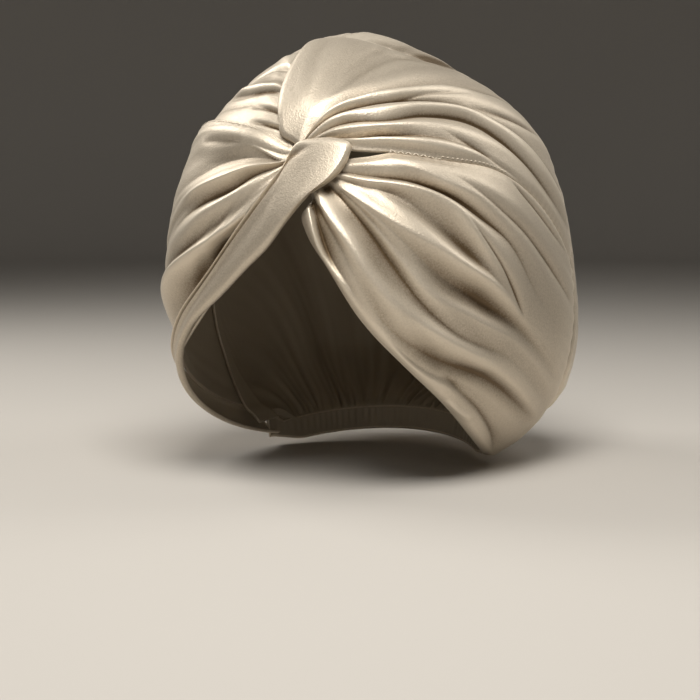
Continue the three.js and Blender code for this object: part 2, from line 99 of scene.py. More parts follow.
# how near to the knot a piece still lies under another
NEAR_KNOT = {"left_upper": 4, "left_lower": 3, "right_lower": 5, "right_upper": 1.5}
PETAL_FOOT = -60  # the bearing from which the petal lies under the band

# ---- edges of the front pieces: bearings at distances from the knot, or the reverse ----

PETAL_EDGE = {"away": [2, 6, 10, 18, 30, 45, 60], "bearing": [-30, -50, -38, -27, -19, -15, -14]}
SIDE_SEAM = {
    "away": [2, 5, 12, 17, 22, 35, 50, 70, 90, 103],
    "bearing": [60, 72, 86, 87, 85, 82, 77, 76, 77, 79],
}
SLIT_FLOOR = {"away": [5, 9, 13, 18, 22], "bearing": [118, 104, 96, 90, 85]}
RIGHT_RIM = {
    "away": [5, 9, 13, 16, 20, 30, 45, 60, 75, 95, 122],
    "bearing": [172, 160, 157, 169, 168, 160, 154, 148, 144, 142, 140.5],
}
LEFT_SEAM = {"away": [2, 4, 10, 20, 40, 80], "bearing": [-45, -58, -60, -63, -63, -66]}
LEFT_TUCK = {
    "away": [3, 8, 14, 30, 45, 60, 72, 90],
    "bearing": [-200, -172, -163, -152, -146, -139, -133, -131],
}
RIGHT_FAR = {
    "bearing": [-20, 0, 12, 20, 30, 45, 60, 90, 105, 120, 141],
    "away": [45, 47, 56, 69, 83, 93, 99, 105, 108, 114, 121],
}
LEFT_FAR = {
    "bearing": [-140, -120, -100, -80, -65, -45, -30, -15, 0],
    "away": [127, 115, 102, 89, 74, 48, 39, 27, 25],
}
# The band: its two edges at shares of its length, in degrees toward the left and up from the knot.
BAND = {
    "at": [0, 0.08, 0.16, 0.24, 0.32, 0.45, 0.6, 0.75, 0.88, 1],
    "upper_leftward": [13, 9, 4, 0, -2, -10, -23, -42, -63, -93],
    "upper_up": [1, 2, 2, 1, -5, -16, -29, -40, -53, -79],
    "lower_leftward": [6, 3, 0, -4, -9, -19, -33, -47, -63, -82],
    "lower_up": [-11, -15, -19, -24, -28, -35, -42, -52, -68, -96],
    "bow": [2, 1.5, 0.5, 0, 0, 0, 0, 0, 0, 0],
}


# ---- folds ----

def fold(away, bearing, height, before, after, power=1.8):
    """A ridge (height over 0) or valley along a line from the knot, with its half width on each side."""
    return {
        "away": away, "bearing": bearing, "height": height, "before": before, "after": after, "power": power,
    }


def line(bearing, height, sharp=0.0):
    """A ridge's crest or a valley's bottom at its table's distances. Sharp is 0 (round) to 2 (a crease)."""
    return {"bearing": bearing, "height": height, "sharp": sharp}


RIGHT_UPPER_DRAPE = {
    "away": [4, 12, 20, 32, 46, 64, 84, 103],
    "lines": [
        line([-5, 10, 20, 26, 27, 26, 23, 20], [0, 0, 0, 0, 0, 0, 0, 0]),
        line([20, 25, 30, 37, 38, 37, 37, 38], [-1, -2, -2.4, -2.4, -2, -1.2, -0.4, 0], 1.2),
        line([25, 31, 37, 42, 42, 45, 48, 48], [0.8, 2.2, 3, 3.2, 3.2, 2.6, 1, 0]),
        line([27, 36, 43, 48, 51, 55, 60, 61], [-0.8, -1.8, -2.2, -1.6, -2, -2.6, -1.8, 0], 2),
        line([33, 43, 51, 53, 54, 61, 66, 66], [0.6, 2, 2.6, 2.6, 2.6, 3.2, 2, 0]),
        line([43, 51, 60, 58, 58, 66, 71, 71], [-0.6, -1.4, -1.2, -2.6, -3, -1.4, 0, 0], 1.8),
        line([50, 61, 66, 65, 66, 71, 74, 74], [0.4, 1.8, 2, 1.8, 1.6, 1, 0.2, 0]),
        line([56, 71, 72, 72, 73, 74, 75, 75], [-1, -2.6, -3, 0, 0.8, 0.4, 0, 0], 0.8),
        line([58, 76, 78, 76, 74, 75, 76, 76], [0, 1.2, 2.4, 2.6, 1.4, 0.4, 0, 0]),
    ],
}
RIGHT_UPPER_FOLDS = [
    fold([12, 20, 30, 42, 54, 64], [12, 14, 14, 15, 17, 18], [0, -0.8, -1.6, -1.6, -1, 0], 10, 7, 2),
    fold([10, 16, 24, 34, 44], [-8, -5, -2, 0, 1], [0, 0.5, 0.9, 0.7, 0], 7, 7, 2),
    fold([25, 30, 42, 54], [46, 46, 45, 44], [0, -1.4, -1.2, 0], 1.5, 1.5, 1.1),
    fold([50, 63, 75, 84], [50, 50, 50, 49], [0, -1.8, -1.8, 0], 2, 2, 1.1),
    fold([34, 42, 50, 58, 66], [67, 71, 74, 75, 76], [0, -1.2, -1.8, -1.8, 0], 2, 3, 1.2),
]
RIGHT_LOWER_DRAPE = {
    "away": [8, 16, 26, 36, 48, 60, 78, 110],
    "lines": [
        line([113, 101, 93, 93, 91, 91, 92, 94], [0, 1, 2.4, 3, 3, 2.4, 0.8, 0]),
        line([120, 110, 100, 97, 97, 98, 103, 103], [-1, -1.6, -2.6, -3, -3, -0.6, 0.2, 0], 1.7),
        line([124, 115, 104, 100, 103, 107, 108, 108], [0, 0.6, 0.8, 1.4, 3, 3.2, 0.8, 0]),
        line([126, 119, 109, 109, 110, 111, 111, 111], [-0.4, -1.4, -2.6, -3.2, -2.8, 2.2, 0.8, 0]),
        line([130, 127, 123, 119, 116, 113, 112, 112], [-1.2, -0.6, 1.2, 3, 4.4, 3.6, 0.8, 0]),
        line([131, 128, 126, 125, 123, 119, 115, 114], [-1.4, -1, 0, -0.4, -3, -4.2, -1, 0]),
        line([132, 129, 129, 130, 130, 125, 119, 117], [-1.6, -1.6, -1.8, -1, 1.4, 1.6, 0.8, 0]),
        line([134, 133, 133, 134, 134, 131, 123, 120], [-2.4, -3.6, -4.8, -4.2, -1, 1.2, 0.8, 0], 0.6),
        line([152, 150, 146, 145, 140, 134, 127, 123], [0.6, 3, 5, 5.2, 5, 4.6, 2.6, 0]),
        line([155, 153, 150, 150, 147, 141, 131, 125], [0, -0.8, 1, 2.8, 1.4, -2.6, -3.4, 0], 0.5),
        line([157, 157, 157, 153, 149, 145, 135, 129], [0, -2.2, -2.6, 1.4, 1.8, -0.6, -1, 0], 0.4),
        line([160, 161, 161, 155, 150, 146, 139, 138], [0.4, 1.2, 1.8, 2, 1.6, 1, 0.6, 0]),
    ],
}
RIGHT_LOWER_FOLDS = [
    fold([42, 52, 61, 70, 76], [100, 104, 107, 110, 112], [0, -2, -2, -1.8, 0], 2.2, 2.2, 1.1),
    fold([36, 53, 67, 86, 108], [89, 91, 91, 91, 93], [0, -1.8, -2, -1.8, 0], 3, 3.5, 1.2),
    fold([66, 72, 85, 100, 112], [140, 139, 137, 137, 139], [0, -1.8, -2.4, -2, 0], 4, 3, 1.3),
    fold([73, 77, 81, 85], [143, 142, 141, 140], [0, 1.6, 1.4, 0], 2, 1.6),
    fold([57, 64, 80, 98], [77, 79, 80, 80], [-0.8, -1.8, -1.6, 0], 2, 3, 1.2),
]
LEFT_UPPER_FOLDS = [
    fold([16, 22, 29, 36, 44], [-20, -25, -37, -44, -50], [0, 1.8, 2.2, 2, 0.8], 4, 5),
    fold([14, 20, 29, 39, 44], [-20, -25, -42, -48, -50], [0, -1.8, -2, -1.6, 0], 3, 2),
    fold([16, 21, 28, 40, 46], [-38, -43, -51, -56, -58], [0, -1, -1.4, -1, 0], 3, 3, 1.1),
    fold([11, 13, 16, 20, 23], [-27, -32, -38, -44, -47], [-1.6, -3.4, -3.2, -1.6, 0], 2, 2),
    fold([6, 8, 11, 15, 18], [-34, -40, -49, -55, -58], [-2, -3.8, -3.6, -1.6, 0], 2, 2),
    fold([26, 30, 34, 38], [-22, -25, -29, -36], [0, -1.8, -1.8, 0], 2.5, 2.5),
]
LEFT_LOWER_DRAPE = {
    "away": [3, 10, 19, 28, 38, 50, 68, 90],
    "lines": [
        line([-168, -163, -152, -142, -137, -132, -127, -126], [0, -1, -2.6, -5.4, -7, -6.8, -3.4, 0], 0.4),
        line([-156, -154, -146, -137, -128, -121, -116, -115], [0.6, 1.6, 3, 4, 4.6, 4.8, 2.8, 0]),
        line([-150, -145, -137, -130, -124, -117, -112, -111], [0, 1, 1.4, 1, 0.6, 1.2, 1, 0]),
        line([-145, -136, -128, -121, -117, -113, -109, -108], [0.8, 2.4, 3.8, 4.2, 2.8, 1.6, 0.6, 0]),
        line([-135, -119, -116, -111, -110, -108, -105, -104], [-1, -2.8, -4.4, -3.4, 0, 0.6, 0.2, 0], 0.8),
        line([-130, -113, -108, -104, -101, -100, -98, -97], [0, 1.6, 2.8, 2.4, 1, 0.6, 0.2, 0], 0.8),
        line([-118, -98, -92, -94, -95, -95, -94, -93], [-0.6, -2, -3, -1.4, 0.4, 0.6, 0.2, 0], 0.4),
        line([-84, -76, -73, -72, -71, -70, -70, -70], [0.4, 1.2, 1.8, 1.8, 1, 0.4, 0, 0]),
    ],
}
LEFT_LOWER_FOLDS = [
    fold([14, 17, 22, 27, 31], [-79, -79, -78, -77, -77], [0, -1, -1.2, -1, 0], 2.5, 2.5),
]
BAND_FOLD_AT = [0, 0.3, 0.6, 1]
BAND_FOLDS = [
    {"across": [0.05, 0.05, 0.05, 0.06], "height": 0.9, "width": 0.045, "start": 0.12, "end": 0.9},
    {"across": [0.13, 0.13, 0.14, 0.15], "height": -1.7, "width": 0.06, "start": 0.15, "end": 0.92},
    {"across": [0.4, 0.42, 0.42, 0.4], "height": -0.9, "width": 0.2, "start": 0.1, "end": 0.9},
    {"across": [0.8, 0.82, 0.82, 0.8], "height": 0.6, "width": 0.16, "start": 0.05, "end": 0.95},
]
BAND_FOLD_EASE = 0.1  # over this share of the band a fold grows or fades
BAND_LENGTH = 260

# ---- the gathered back: its ends, its puff behind the seam, its drapes and gathers ----

BACK_ENDS = {"left": -138.5, "right": 140}
BACK_CORNER = {"start": 112, "end": 138}
BACK_PUFF = {
    "bearing": [-80, -50, -24, -6, 8, 32], "height": [0, 4, 4, 7, 7.5, 0], "reach": 22, "fall": [30, 110],
}
BACK_WIDTH = 330
BACK_DRAPES = {"height": 1.3, "pitch": 46, "reach": 170}
BACK_FINE = {"height": 0.45, "pitch": 13, "reach": 120}
BACK_GATHERS = {"height": 2, "pitch": 9, "reach": 90}
GATHERS_REACH = 24  # how quickly the gathers die away from the nape
UNDER_PETAL = {"start": -17, "end": 1}  # where the back's seam passes in under the petal
SEAM_TUCK = {"degrees": 2.5, "corner_degrees": 8, "depth": 3}
NAPE_PULL = 60  # how far from the nape the back is drawn in
SHORT_ROW = 60  # a row shorter than this has a shorter stretch near its seam and weaker gathers
NEAR_SEAM = 17  # the stretch near the seam that has rows of its own
NEAR_ROWS = 0.2  # the share of the rows that lie in it
BACK_BEND = 1.5  # how strongly a row sets out straight backward
BACK_EASE = 1.4  # the angle, in radians, between a row's ends under which it bends less
ROUTE_STEPS = 80

# ---- hollows, for the painted shade in valleys (a darker browner tone) and painted light on ridges: how wide to look, how deep is full ----

HOLLOW_SHARE = 26
HOLLOW_FINE_SHARE = 90
HOLLOW_DEPTH = 3.2
BACK_HOLLOW_DEPTH = 7
HOLLOW_FINE_DEPTH = 1.2

# ---- stitches ----

THREAD = 0.28  # half the thickness of a stitch
THREAD_SIDES = 6
THREAD_RINGS = [0.05, 0.6, 0.95, 1, 0.95, 0.6, 0.05]
THREAD_DIP = 0.25  # how far a stitch's ends dip toward the cloth
ZIGZAG_END = {"start": 9, "end": 12}


# ---- curves and the map around the knot ----

def lerp(low, high, share):
    return low + (high - low) * share


def smoothstep(value, low, high):
    t = np.clip((value - low) / (high - low), 0, 1)
    return t * t * (3 - 2 * t)


def follow(places, values, place):
    """A smooth curve through a short table, held level past its ends."""
    places = np.asarray(places, float)
    values = np.asarray(values, float)
    place = np.clip(place, places[0], places[-1])
    slopes = np.gradient(values, places, edge_order=1)
    slopes[1:-1] = (values[2:] - values[:-2]) / (places[2:] - places[:-2])
    i = np.clip(np.searchsorted(places, place, side="right") - 1, 0, len(places) - 2)
    span = places[i + 1] - places[i]
    t = (place - places[i]) / span
    start = (1 + 2 * t) * (1 - t) ** 2 * values[i] + t * (1 - t) ** 2 * span * slopes[i]
    end = t * t * (3 - 2 * t) * values[i + 1] + t * t * (t - 1) * span * slopes[i + 1]
    return start + end


def compass(around, up):
    """The direction at some degrees round from the front toward the left, and some up."""
    a = np.radians(around)
    u = np.radians(up)
    return np.stack([np.sin(a) * np.cos(u), -np.cos(a) * np.cos(u), np.sin(u) + 0 * a], -1)


def unit(vectors):
    return vectors / np.linalg.norm(vectors, axis=-1, keepdims=True)


def angle_between(a, b):
    return np.arccos(np.clip(np.sum(a * b, -1), -1, 1))


def form_radius(direction):
    """The general form: six reaches, a power and some swells."""
    reach = np.stack([
        np.where(direction[..., 0] > 0, FORM["left"], FORM["right"]),
        np.where(direction[..., 1] > 0, FORM["back"], FORM["front"]),
        np.where(direction[..., 2] > 0, FORM["top"], FORM["bottom"]),
    ], -1)
    total = np.sum(np.abs(direction / reach) ** FORM["power"], -1)
    swelling = 0
    for swell in SWELLS:
        apart = np.degrees(angle_between(direction, compass(swell["around"], swell["up"])))
        swelling = swelling + swell["out"] * np.exp(-0.5 * (apart / swell["spread"]) ** 2)
    return total ** (-1 / FORM["power"]) + swelling


knot_out = compass(KNOT["around"], KNOT["up"])
knot_up = unit(np.array([0, 0, 1]) - knot_out * knot_out[2])
knot_side = np.cross(knot_up, knot_out)


def from_knot(bearing, away):
    b = np.radians(bearing)[..., None]
    a = np.radians(away)[..., None]
    return knot_out * np.cos(a) + knot_up * np.cos(b) * np.sin(a) + knot_side * np.sin(b) * np.sin(a)


def to_knot(direction):
    bearing = np.degrees(np.arctan2(direction @ knot_side, direction @ knot_up))
    return bearing, np.degrees(np.arccos(np.clip(direction @ knot_out, -1, 1)))


def per_degree(away):
    """Length on the form of one degree of bearing."""
    return np.radians(np.maximum(MEAN_RADIUS * np.sin(np.radians(away)), 3))


def along(edge, away):
    return follow(edge["away"], edge["bearing"], away)


def shifted(edge, away, millimetres):
    return along(edge, away) + millimetres / per_degree(away)


def knot_draw(away):
    """How far the cloth is drawn in at the knot."""
    return KNOT["draw"] * np.exp(-((away / KNOT["reach"]) ** 2))


# ---- heights over the form ----

def fold_height(folds, bearing, away):
    """Single folds, narrower toward the knot, that grow and fade at their ends."""
    narrowing = lerp(FOLD["narrow"], 1, smoothstep(away, FOLD["start"], FOLD["end"]))
    wide, close = FOLD["easing_out"], FOLD["easing_in"]
    total = np.zeros(np.broadcast(bearing, away).shape)
    for row in folds:
        offset = (bearing - follow(row["away"], row["bearing"], away)) * per_degree(away)
        width = np.where(offset < 0, row["before"], row["after"]) * narrowing
        shape = np.exp(-(np.abs(offset / width) ** row["power"]))
        first, last = row["away"][0], row["away"][-1]
        ends = smoothstep(away, first - wide, first + close)
        ends = ends * (1 - smoothstep(away, last - close, last + wide))
        total += follow(row["away"], row["height"], away) * lerp(narrowing, 1, 0.3) * shape * ends
    return total


def drape_height(drape, low, high, bearing, away):
    """Cloth that rises and falls from line to line across the bearings, level at its two edges."""
    places = [low] + [follow(drape["away"], row["bearing"], away) for row in drape["lines"]] + [high]
    heights = [0] + [follow(drape["away"], row["height"], away) for row in drape["lines"]] + [0]
    sharps = [0] + [row["sharp"] for row in drape["lines"]] + [0]
    total = np.zeros(np.broadcast(bearing, away).shape)
    for k in range(len(places) - 1):
        start = places[k]
        places[k + 1] = np.maximum(places[k + 1], start + LEAST_STEP)
        t = (bearing - start) / (places[k + 1] - start)
        rise = t * t * (3 - 2 * t) + sharps[k] * t * (1 - t) ** 2 - sharps[k + 1] * t * t * (1 - t)
        between = (t >= 0) & (t < 1)
        total = np.where(between, lerp(heights[k], heights[k + 1], rise), total)
    return total


def wrinkles(across, along_it, seed, height, pitch, reach):
    """Long soft waves across the cloth that wander and fade along it."""
    draw = np.random.default_rng(seed)
    total = 0
    for _ in range(WRINKLE_WAVES):
        own_pitch = pitch * draw.uniform(0.6, 1.7)
        start, wander, swell = draw.uniform(0, 2 * np.pi, 3)
        drift = draw.uniform(0.3, 0.7) * np.sin(along_it / (reach * draw.uniform(0.25, 0.5)) + wander)
        angle = 2 * np.pi * (across / own_pitch) + drift * 2 + start
        share = 0.5 + 0.5 * np.sin(along_it / (reach * draw.uniform(0.15, 0.3)) + across / own_pitch + swell)
        total = total + np.cos(angle) * share
    return height * (total / math.sqrt(WRINKLE_WAVES))


def puckers(from_seam, along_it, seed, height, pitch, reach):
    """Short dimples that leave a sewn seam."""
    draw = np.random.default_rng(seed)
    shifts = draw.uniform(0, 2 * np.pi, 3)
    wander = 1.3 * np.sin(along_it / (pitch * 2.7) + shifts[0])
    wander = wander + 0.8 * np.sin(along_it / (pitch * 1.3) + shifts[1])
    uneven = 0.6 + 0.4 * np.sin(along_it / (pitch * 3.9) + shifts[2])
    dimples = np.cos(2 * np.pi * along_it / pitch + wander) * uneven
    return height * (dimples * np.exp(-np.maximum(from_seam, 0) / reach))


def fade_at(distance, reach=9):
    """How much of the folds is left near an edge."""
    return smoothstep(distance, 0, reach)


def turn_down(distance, drop, reach=3):
    """A folded edge turns down over its last few millimetres."""
    return -drop * (1 - np.clip(distance / reach, 0, 1)) ** 2


def far_left(bearing):
    return follow(LEFT_FAR["bearing"], LEFT_FAR["away"], bearing)


def far_right(bearing):
    return follow(RIGHT_FAR["bearing"], RIGHT_FAR["away"], bearing)


def to_millimetres(degrees):
    return np.radians(degrees) * MEAN_RADIUS


def askew(far, bearing):
    """How much longer the way out from the knot is than the nearest way to a far seam."""
    slope = (far(bearing + 1) - far(bearing - 1)) / 2 / np.sin(np.radians(far(bearing)))
    return np.hypot(1, slope)


def to_seam(far, bearing, away):
    return to_millimetres(far(bearing) - away) / askew(far, bearing)


def left_upper_height(bearing, away):
    from_petal = (shifted(PETAL_EDGE, away, TUCK) - bearing) * per_degree(away)
    from_seam = (bearing - shifted(LEFT_SEAM, away, -TUCK)) * per_degree(away)
    from_far = to_seam(far_left, bearing, away)
    sides = fade_at(from_petal, 6) * fade_at(from_seam, 12)
    folds = fold_height(LEFT_UPPER_FOLDS, bearing, away) * sides * fade_at(from_far - FAR_MARGIN)
    soft = wrinkles(bearing, away, seed=11, height=0.15, pitch=10, reach=60)
    folds = folds + soft * sides * smoothstep(away, 8, 24)
    round_seam = bearing * per_degree(40)
    folds = folds + puckers(from_far, round_seam, seed=12, height=0.1, pitch=7, reach=6) * sides
    return folds - 0.4 * (1 - sides) + turn_down(from_far, SEAM_TURN) - knot_draw(away)


def left_lower_height(bearing, away):
    from_top = (along(LEFT_SEAM, away) - bearing) * per_degree(away)
    from_tuck = (bearing - along(LEFT_TUCK, away)) * per_degree(away)
    from_far = to_seam(far_left, bearing, away)
    kept = fade_at(from_tuck, 4) * fade_at(from_far - FAR_MARGIN)
    lift = LEFT_LIFT["height"] * (1 - smoothstep(from_top, 0, LEFT_LIFT["reach"]))
    lift = lift - LEFT_LIFT["sunk"] * (1 - fade_at(from_tuck, LEFT_LIFT["sunk_reach"]))
    drape = drape_height(LEFT_LOWER_DRAPE, along(LEFT_TUCK, away), along(LEFT_SEAM, away), bearing, away)
    folds = (drape + fold_height(LEFT_LOWER_FOLDS, bearing, away)) * kept
    soft = wrinkles(bearing, away, seed=21, height=0.35, pitch=9, reach=70)
    folds = folds + soft * fade_at(from_tuck, 12) * smoothstep(away, 8, 30)
    round_seam = bearing * per_degree(80)
    folds = folds + puckers(from_far, round_seam, seed=22, height=0.25, pitch=8, reach=8)
    sewn = puckers(from_top, away * 2, seed=23, height=0.3, pitch=5, reach=4)
    folds = folds + sewn * smoothstep(away, 12, 18)
    return lift + folds + turn_down(from_top, drop=0.8) + turn_down(from_far, SEAM_TURN) - knot_draw(away)


def slit_floor(away):
    """Where the wearer's-left pieces part: a slit by the knot, then the side seam."""
    seam = along(SIDE_SEAM, away)
    return np.where(away < SLIT_FLOOR["away"][-1], np.maximum(along(SLIT_FLOOR, away), seam), seam)


def small_folds(seed, bearing, away, from_seam, from_far, strength):
    """Wrinkles and the two seams' puckers, on the wearer's-left pieces."""
    soft = wrinkles(bearing, away, seed, height=strength, pitch=9, reach=80)
    far = puckers(from_far, bearing * per_degree(100), seed + 1, height=0.25, pitch=8, reach=8)
    sewn = puckers(from_seam, away * 2, seed + 2, height=0.14, pitch=5.2, reach=4)
    return soft, far, sewn * smoothstep(away, 20, 34)


def right_lower_height(bearing, away):
    from_seam = (bearing - slit_floor(away)) * per_degree(away)
    from_rim = (along(RIGHT_RIM, away) - bearing) * per_degree(away)
    from_far = to_seam(far_right, bearing, away)
    kept = fade_at(from_seam, 5) * fade_at(from_far - FAR_MARGIN)
    kept = kept * fade_at(from_rim + 2, 5) * smoothstep(away, 9, 13)
    drape = drape_height(RIGHT_LOWER_DRAPE, slit_floor(away), along(RIGHT_RIM, away), bearing, away)
    folds = (drape + fold_height(RIGHT_LOWER_FOLDS, bearing, away)) * kept
    spread = smoothstep(away, 12, 34) * fade_at(from_rim, 12)
    strength = lerp(0.4, 0.25, smoothstep(away, 50, 75))
    soft, far, sewn = small_folds(31, bearing, away, from_seam, from_far, strength)
    folds = folds + soft * spread + far + sewn
    edges = turn_down(from_rim, drop=3, reach=5) + turn_down(from_seam, drop=1.2, reach=6)
    edges = edges + turn_down(from_far, SEAM_TURN)
    return folds + edges - knot_draw(away) - (1 - smoothstep(away, 12, 20))


def right_upper_height(bearing, away):
    from_edge = (bearing - along(PETAL_EDGE, away)) * per_degree(away)
    from_seam = (along(SIDE_SEAM, away) - bearing) * per_degree(away)
    from_far = to_seam(far_right, bearing, away)
    kept = fade_at(from_seam, 5) * fade_at(from_far - FAR_MARGIN)
    lift = PETAL_LIFT["height"] * (1 - smoothstep(from_edge, PETAL_LIFT["start"], PETAL_LIFT["end"]))
    lift = lift - (1 - smoothstep(away, 2, 14))
    drape = drape_height(RIGHT_UPPER_DRAPE, along(PETAL_EDGE, away), along(SIDE_SEAM, away), bearing, away)
    folds = (drape + fold_height(RIGHT_UPPER_FOLDS, bearing, away)) * kept
    spread = smoothstep(away, 10, 30) * fade_at(from_edge, 12)
    strength = lerp(0.2, 0.35, smoothstep(bearing, 22, 36))
    soft, far, sewn = small_folds(41, bearing, away, from_seam, from_far, strength)
    folds = folds + soft * spread + far + sewn
    edges = turn_down(from_edge, drop=1.2) + turn_down(from_seam, drop=1.2, reach=6)
    edges = edges + turn_down(from_far, SEAM_TURN)
    return lift + folds + edges - knot_draw(away)


def over(height, below):
    """A piece that lies on another never comes closer to it than its own wall and a gap."""
    return np.maximum(height, below + CLOTH + GAP)


def under_left_lower(bearing, away):
    covered = (bearing - shifted(LEFT_SEAM, away, -TUCK - MARGIN)) * per_degree(away)
    return np.where(covered > 0, left_upper_height(bearing, away), UNDER_ALL)


def left_lower_top(bearing, away):
    return over(left_lower_height(bearing, away), under_left_lower(bearing, away))


def under_petal(bearing, away):
    left_of_edge = (shifted(PETAL_EDGE, away, TUCK + MARGIN) - bearing) * per_degree(away)
    covered = (left_of_edge > 0) & (away > NEAR_KNOT["left_upper"])
    return np.where(covered, left_upper_height(bearing, away), UNDER_ALL)


def under_band(bearing, away):
    turned = np.where(bearing > 0, bearing - FULL_TURN, bearing)
    on_left = (turned > shifted(LEFT_TUCK, away, -MARGIN)) & (away > NEAR_KNOT["left_lower"])
    left = np.where(on_left, left_lower_height(turned, away), UNDER_ALL)
    past_floor = bearing > slit_floor(away) - MARGIN / per_degree(away)
    before_rim = bearing < shifted(RIGHT_RIM, away, MARGIN)
    on_right = past_floor & before_rim & (away > NEAR_KNOT["right_lower"])
    right = np.where(on_right, right_lower_height(bearing, away), UNDER_ALL)
    before_seam = bearing < shifted(SIDE_SEAM, away, 2 * MARGIN)
    on_top = (bearing > PETAL_FOOT) & before_seam & (away > NEAR_KNOT["right_upper"])
    top = np.where(on_top, right_upper_height(bearing, away), UNDER_ALL)
    return np.maximum(np.maximum(left, right), top)


# ---- materials ----

def make_material(name):
    material = bpy.data.materials.new(name)
    material.use_nodes = True
    return material, material.node_tree.nodes, material.node_tree.links


def set_inputs(node, **inputs):
    """Sets a node's sockets by name, with _ for a space."""
    for key, value in inputs.items():
        node.inputs[key.replace("_", " ")].default_value = value


def plain_material(name, colour, roughness):
    material, nodes, _ = make_material(name)
    set_inputs(nodes["Principled BSDF"], Base_Color=colour, Roughness=roughness)
    return material


def satin(name, light, valley_shade, roughness, metallic, sheen, bump):
    """Satin: broad soft gloss, faint long threads, a fine grain, slow changes of tone, and painted light and
    shade: lighter on ridges, a darker brown in valleys.
    """
    material, nodes, links = make_material(name)
    shader = nodes["Principled BSDF"]
    set_inputs(shader, Metallic=metallic, Sheen_Weight=sheen)
    set_inputs(shader, Sheen_Roughness=0.4, Sheen_Tint=(1, 0.93, 0.8, 1))

    def node(kind, **inputs):
        made = nodes.new(kind)
        set_inputs(made, **inputs)
        return made

    def join(source, result, target, use):
        links.new(source.outputs[result], target.inputs[use])

    place = nodes.new("ShaderNodeUVMap")
    place.uv_map = "cloth"
    stretch = node("ShaderNodeMapping", Scale=(1, 0.08, 1))
    join(place, "UV", stretch, "Vector")
    threads = node("ShaderNodeTexNoise", Scale=900, Detail=3, Roughness=0.6)
    join(stretch, "Vector", threads, "Vector")
    where = nodes.new("ShaderNodeTexCoord")
    tone = node("ShaderNodeTexNoise", Scale=14, Detail=3, Roughness=0.5)
    join(where, "Object", tone, "Vector")
    grain = node("ShaderNodeTexNoise", Scale=1100, Detail=2, Roughness=0.7)
    join(where, "Object", grain, "Vector")

    # Painted light and shade: by how hollow the cloth is there, ridges get a lighter colour and valleys a
    # darker brown.
    relief_shade = nodes.new("ShaderNodeAttribute")
    relief_shade.attribute_name = "relief_shade"
    cloudy = node("ShaderNodeMapRange", To_Min=-0.08, To_Max=0.08)
    join(tone, "Fac", cloudy, "Value")
    speckle = node("ShaderNodeMapRange", To_Min=-0.17, To_Max=0.17)
    join(grain, "Fac", speckle, "Value")
    mottled = nodes.new("ShaderNodeMath")
    join(cloudy, "Result", mottled, 0)
    join(speckle, "Result", mottled, 1)
    depth = nodes.new("ShaderNodeMath")
    join(relief_shade, "Fac", depth, 0)
    join(mottled, "Value", depth, 1)
    # The ramp runs from the painted ridge colour to the painted valley shade.
    ramp = nodes.new("ShaderNodeValToRGB")
    stops = ramp.color_ramp.elements
    stops[0].position = 0.2
    stops[0].color = (*light, 1)
    stops[1].position = 0.9
    stops[1].color = (*valley_shade, 1)
    middle = stops.new(0.5)
    middle.color = (*[lerp(x, y, 0.3) for x, y in zip(light, valley_shade)], 1)
    join(depth, "Value", ramp, "Fac")
    join(ramp, "Color", shader, "Base Color")

    gloss = node("ShaderNodeMapRange", To_Min=roughness - 0.05, To_Max=roughness + 0.07)
    join(threads, "Fac", gloss, "Value")
    join(gloss, "Result", shader, "Roughness")

    fine = node("ShaderNodeBump", Strength=bump, Distance=0.0002)
    join(grain, "Fac", fine, "Height")
    lines = node("ShaderNodeBump", Strength=bump * 0.2, Distance=0.0003)
    join(threads, "Fac", lines, "Height")
    join(fine, "Normal", lines, "Normal")
    join(lines, "Normal", shader, "Normal")
    return material


# In each satin, the lighter colour is painted light on ridges and the darker one is painted shade in
# valleys.
CLOTHS = [
    satin(
        "satin_right_side", light=(0.8, 0.71, 0.58), valley_shade=(0.15, 0.1, 0.052),
        roughness=0.44, metallic=0.6, sheen=0.2, bump=0.9,
    ),
    satin(
        "satin_wrong_side", light=(0.46, 0.4, 0.31), valley_shade=(0.34, 0.28, 0.2),
        roughness=0.62, metallic=0.0, sheen=0.3, bump=0.4,
    ),
]


# ---- shells ----

def perimeter(columns, rows):
    """The grid places around the edge of a sheet, in order, each with its neighbour inside."""
    low = [(i, 0) for i in range(columns)]
    end = [(columns, j) for j in range(rows)]
    high = [(i, rows) for i in range(columns, 0, -1)]
    start = [(0, j) for j in range(rows, 0, -1)]
    places = np.array(low + end + high + start)
    inside = np.clip(places, [1, 1], [columns - 1, rows - 1])
    return places, inside


def make_mesh(name, points, faces, marks, spots, materials):
    """A smooth mesh. Marks say each face's material, and spots where each point is on the flat cloth."""
    mesh = bpy.data.meshes.new(name)
    mesh.vertices.add(len(points))
    mesh.vertices.foreach_set("co", (points * MILLIMETRE).astype(np.float32).ravel())
    mesh.loops.add(faces.size)
    mesh.loops.foreach_set("vertex_index", faces.astype(np.int32).ravel())
    mesh.polygons.add(len(faces))
    mesh.polygons.foreach_set("loop_start", np.arange(0, faces.size, 4, dtype=np.int32))
    mesh.polygons.foreach_set("material_index", marks.astype(np.int32))
    mesh.update(calc_edges=True)
    mesh.shade_smooth()
    layer = mesh.uv_layers.new(name="cloth")
    layer.data.foreach_set("uv", (spots[faces.ravel()] * MILLIMETRE).astype(np.float32).ravel())
    for material in materials:
        mesh.materials.append(material)
    mesh.validate()
    piece = bpy.data.objects.new(name, mesh)
    bpy.context.scene.collection.objects.link(piece)
    return piece


def smoothed(grid, cells):
    """A grid of heights, blurred over some cells each way."""
    for axis, reach in enumerate(cells):
        steps = np.arange(-2 * reach, 2 * reach + 1)
        weights = np.exp(-0.5 * (steps / reach) ** 2)
        pad = [(2 * reach, 2 * reach) if k == axis else (0, 0) for k in (0, 1)]
        wide = np.pad(grid, pad, mode="reflect", reflect_type="odd")
        length = grid.shape[axis]
        parts = [w * np.take(wide, np.arange(k, k + length), axis) for k, w in enumerate(weights)]
        grid = sum(parts) / weights.sum()
    return grid


